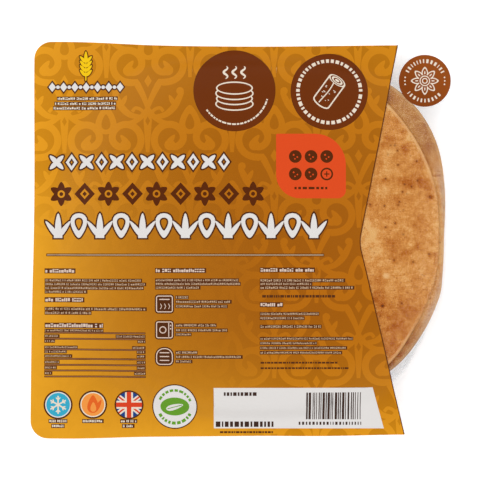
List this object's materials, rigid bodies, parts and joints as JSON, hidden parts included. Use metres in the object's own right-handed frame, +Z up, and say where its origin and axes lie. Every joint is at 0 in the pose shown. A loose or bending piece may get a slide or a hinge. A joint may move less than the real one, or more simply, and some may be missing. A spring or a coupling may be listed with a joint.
{
  "type": "pack of tandoori roti",
  "caption": "Sealed film pack of round tandoori rotis lying shown side up: gold printed lid, notched clear window on the right, round badge on the clear film.",
  "frame": {"origin": "under the middle of the pack, on the surface it lies on", "axes": "+X to the right of the printed side as it is read, +Y to its top, +Z up out of the printed side"},
  "size_m": [0.2411, 0.2182, 0.0198],
  "materials": {
    "bread": "baked flatbread, golden with toasted patches and small dark pits, seen through clear film",
    "printed_film": "thin film printed gold with a two-tone damask and simple fields of colour, softly glossy",
    "badge_print": "brown disc printed on clear film, with a pale flower in it",
    "clear_film": "clear packing film, glossy, lightly wrinkled"
  },
  "bodies": {
    "root": {"sealed_pack": "bread", "printed_panel": "printed_film", "round_badge": "badge_print"}
  },
  "joints": []
}
